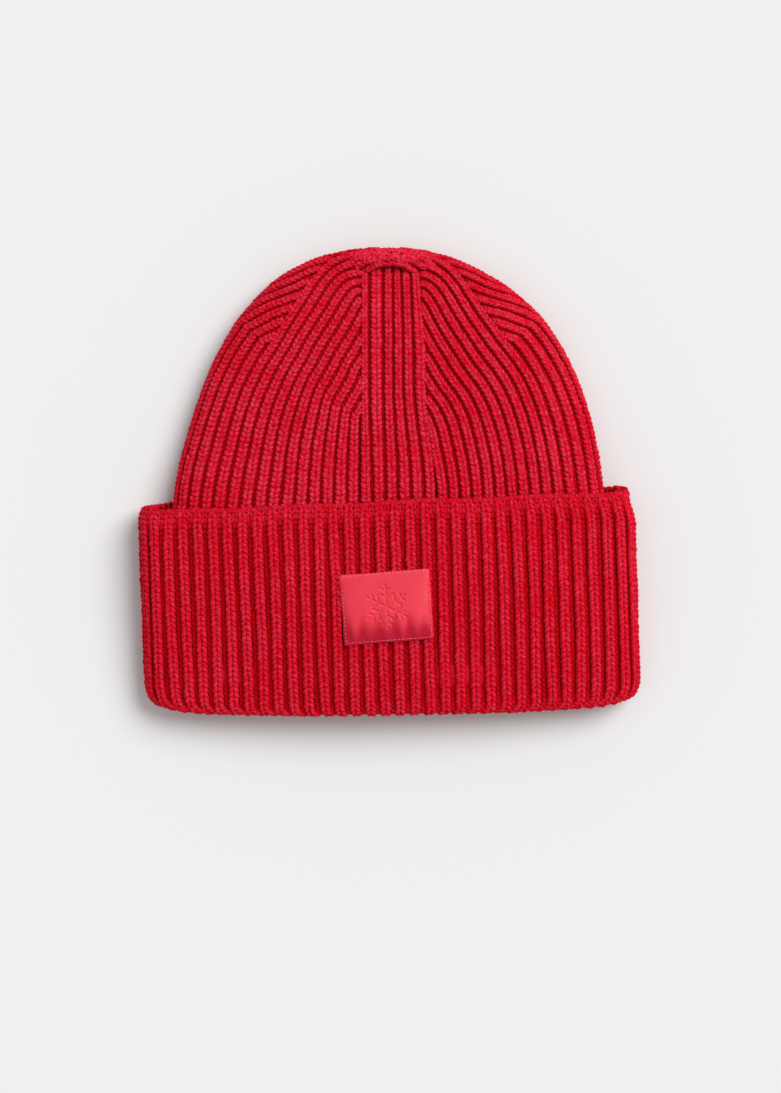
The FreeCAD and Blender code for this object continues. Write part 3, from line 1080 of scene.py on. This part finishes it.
def make_patch(material):
    """The patch as one closed sheet."""
    columns, rows = 241, 189
    p, q = np.meshgrid(np.linspace(-0.5, 0.5, columns) * patch_size[0],
                       np.linspace(-0.5, 0.5, rows) * patch_size[1])
    wavy_p = p * (1 + 0.004 * np.sin(q / 2.3) - 0.010 * np.cos(q / half_q * 1.5))
    wavy_q = q * (1 + 0.005 * np.sin(p / 3.7) - 0.008 * np.cos(p / half_p * 1.5))
    corner = smooth(np.abs(p) / half_p, 0.93, 1) * smooth(np.abs(q) / half_q, 0.93, 1)
    wavy_p = wavy_p * (1 - 0.012 * corner)
    wavy_q = wavy_q * (1 - 0.015 * corner)
    top = patch_place(wavy_p, wavy_q, patch_lift(p, q))
    under = patch_place(wavy_p, wavy_q, np.minimum(patch_lift(p, q) - 0.55, 0.35))
    points = np.concatenate([top.reshape(-1, 3), under.reshape(-1, 3)])
    faces = grid_faces(rows, columns, False)
    back = faces[:, ::-1] + rows * columns
    border = np.concatenate([np.arange(columns), np.arange(2, rows + 1) * columns - 1,
                             np.arange(rows * columns - 2, (rows - 1) * columns - 1, -1),
                             np.arange(rows - 2, 0, -1) * columns])
    after = np.roll(border, -1)
    shift = rows * columns
    sides = np.stack([after, border, border + shift, after + shift], 1)
    # Painted shade: the satin is coloured darker towards its lower edge, in soft upright streaks.
    hang = (half_q + q) / (2 * half_q)
    streaks = 0.07 * np.cos(2 * math.pi * p / wrinkle + 0.6) + 0.03 * np.sin(p / 0.9)
    shade = smooth(hang + streaks, 0.06, 0.42).ravel()
    return mesh_object("patch_label_satin", points, np.concatenate([faces, back, sides]),
                       material, slot="patch_satin", crest=np.concatenate([shade, shade]))


def satin_material(name, colour, weave_scale, rough, painted_shade=None):
    """Woven satin ribbon: fine crosswise weave, soft broad shine, slight unevenness."""
    material, tree, shader = new_material(name, Roughness=rough, Specular_IOR_Level=0.24,
                                          Sheen_Weight=0.06, Sheen_Roughness=0.35)
    where = node(tree, "TexCoord").outputs["Object"]
    turned = node(tree, "Mapping", where, Rotation=(0, 0, -patch_tilt)).outputs["Vector"]
    weave = node(tree, "TexWave", turned, Scale=weave_scale, Distortion=0.6, Detail=1.0)
    weave.bands_direction = "Y"
    threads = node(tree, "TexWave", turned, Scale=weave_scale * 0.6, Distortion=0.8)
    threads.bands_direction = "X"
    cloud = node(tree, "TexNoise", turned, Scale=160.0, Detail=2.0)
    tones = [[min(1.0, share * c) for c in colour] for share in (0.95, 1.05)]
    shade = two_tones(tree, cloud.outputs["Fac"], (0.3, tones[0]), (0.7, tones[1]))
    # the patch's painted shade: the given darker colour where the painted light values are low,
    # towards its lower edge
    if painted_shade is not None:
        shade = mix_from(tree, attribute(tree, "crest").outputs["Fac"], painted_shade, shade)
    tree.links.new(shade, shader.inputs["Base Color"])
    height = multiply_add(tree, threads.outputs["Fac"], 0.5, weave.outputs["Fac"])
    add_bump(tree, shader, height, Strength=0.35, Distance=0.00008)
    return material


# the patch's red, with a darker red as painted shade towards its lower edge
satin_red = satin_material("patch_satin", (0.75, 0.034, 0.060), 1300.0, 0.40,
                           painted_shade=(0.50, 0.0, 0.022))
thread_red = yarn_material("patch_thread", (0.8, 0.02, 0.05), (0.85, 0.05, 0.08),
                           (0.95, 0.24, 0.28), fibre=0.6, rough=0.6, sheen=0.2)
patch_piece = make_patch(satin_red)
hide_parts("patch_label")

dash_share, dash_angle, dash_round, dash_faces = grain(7, 8)


def thread_stitches(yarns, line, outward, length, pitch, thick):
    """Short raised stitches along a line, each dipping into the cloth at both ends."""
    path = Wale(line, outward, 1.0, spacing=0.3)
    count = int(round(path.length / pitch))
    s = (np.arange(count) + 0.5) * path.length / count
    s = s + rng.normal(0, 0.05, count)
    t = dash_share
    bow = 1 - (2 * np.clip(t, 0, 1) - 1) ** 2
    radius = thick / 2 * (0.75 + 0.25 * bow) * dash_round
    v = s[:, None] + (t - 0.5) * length
    skew = rng.normal(0, 0.05, count)[:, None] * (2 * t - 1)
    u = skew + radius * np.cos(dash_angle)
    n = 0.28 * bow - 0.12 + radius * np.sin(dash_angle)
    yarns.add(path.place(v, np.broadcast_to(u, v.shape), np.broadcast_to(n, v.shape)),
              dash_faces)


patch_threads = Yarns()
run_p, run_q = half_p - stitch_inset, half_q - stitch_inset
corners = [(-run_p, -run_q), (run_p, -run_q), (run_p, run_q), (-run_p, run_q), (-run_p, -run_q)]
for (p0, q0), (p1, q1) in zip(corners[:-1], corners[1:]):
    step = np.linspace(0, 1, 60)
    p, q = p0 + (p1 - p0) * step, q0 + (q1 - q0) * step
    line = patch_place(p, q, patch_lift(p, q) + 0.10)
    thread_stitches(patch_threads, line, UP, 1.25, stitch_pitch, 0.34)
threads_piece = patch_threads.build("patch_label_stitches", thread_red, slot="patch_thread")[0]
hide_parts("patch_stitches")

# ---- care label -----------------------------------------------------------
care_low, care_high = in_mm(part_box("care_label"))


def make_care_label(material):
    """Blank ribbon folded double: its two cut ends are in the seam, its fold hangs free."""
    reach = care_high[0] - care_low[0]
    fold, half_thick = 0.40, 0.12
    half = math.pi * np.linspace(-0.5, 0.5, 9)
    run = np.linspace(0, reach - fold - half_thick, 40)
    low_z = care_low[2] + 0.14 + 0.15 * np.sin(math.pi * run / reach)
    high_z = care_high[2] - 0.14 - 0.10 * np.sin(math.pi * run / reach) ** 2
    turn_x = run[-1] + fold * np.cos(half)
    turn_z = (low_z[-1] + high_z[-1]) / 2 + (high_z[-1] - low_z[-1]) / 2 * np.sin(half)
    x = care_low[0] + np.concatenate([run, turn_x[1:-1], run[::-1]])
    z = np.concatenate([low_z, turn_z[1:-1], high_z[::-1]])
    line = np.stack([x, z], 1)
    normal = unit(np.gradient(line, axis=0))
    normal = np.stack([normal[:, 1], -normal[:, 0]], 1)
    section = np.concatenate([line + half_thick * normal, (line - half_thick * normal)[::-1]])
    rows, count = 61, len(section)
    y = np.linspace(care_low[1] + 0.2, care_high[1] - 0.2, rows)
    wave = 0.10 * np.sin((y - y[0]) / 6.5)
    lift = smooth(section[:, 0], care_low[0] + 8, care_high[0])
    points = np.stack([np.broadcast_to(section[:, 0], (rows, count)),
                       np.broadcast_to(y[:, None], (rows, count)),
                       section[:, 1] + wave[:, None] * lift], -1)
    faces = grid_faces(rows, count, True)
    i = np.arange(len(line) - 1)
    first = np.stack([i, i + 1, count - 2 - i, count - 1 - i], 1)
    last = first[:, ::-1] + (rows - 1) * count
    return mesh_object("care_label_ribbon", points.reshape(-1, 3),
                       np.concatenate([faces, first, last]), material, body="care_label",
                       slot="care_ribbon")


ribbon_white = satin_material("care_ribbon", (0.82, 0.80, 0.77), 900.0, 0.5)
care_piece = make_care_label(ribbon_white)
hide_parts("care_label")
care_threads = Yarns()
edge_low, edge_high = in_mm(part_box("care_label_stitches"))
step = np.linspace(edge_low[1], edge_high[1], 40)
line = np.stack([np.full(40, (edge_low[0] + edge_high[0]) / 2), step,
                 np.full(40, edge_low[2] + 0.2)], 1)
thread_stitches(care_threads, line, UP, 2.6, 4.4, 0.5)
seam_thread = yarn_material("care_thread", (0.5, 0.02, 0.04), (0.55, 0.02, 0.04),
                            (0.9, 0.1, 0.12), fibre=0.6, rough=0.6, sheen=0.1)
care_thread_piece = care_threads.build("care_label_thread", seam_thread,
                                       slot="care_thread")[0]
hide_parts("care_label_stitches")

# ---- floor, lights and camera ---------------------------------------------
bpy.ops.mesh.primitive_plane_add(size=40, location=(0, 0, -0.0002))
floor = bpy.context.object
floor.name = "studio_floor"
floor.data.materials.append(
    new_material("studio_paper", Base_Color=(0.75, 0.75, 0.75, 1), Roughness=0.9)[0])

world = bpy.data.worlds.new("studio")
bpy.context.scene.world = world
world.use_nodes = True
set_inputs(world.node_tree.nodes["Background"], Color=(1, 1, 1, 1), Strength=0.54)

light = bpy.data.lights.new("key", "SUN")
light.angle = math.radians(40)
light.energy = 2.7
lamp = new_object("key", light)
lamp.location = (0.74, 0.62, 1.0)
lamp.rotation_euler = (-lamp.location).to_track_quat("-Z", "Y").to_euler()

camera_data = bpy.data.cameras.new("camera")
camera_data.lens = 85
camera_data.sensor_width = 36
camera = new_object("camera", camera_data)
camera.location = (0.0009, -0.0308, 1.2294)
bpy.context.scene.camera = camera
bpy.context.scene.view_settings.view_transform = "Standard"
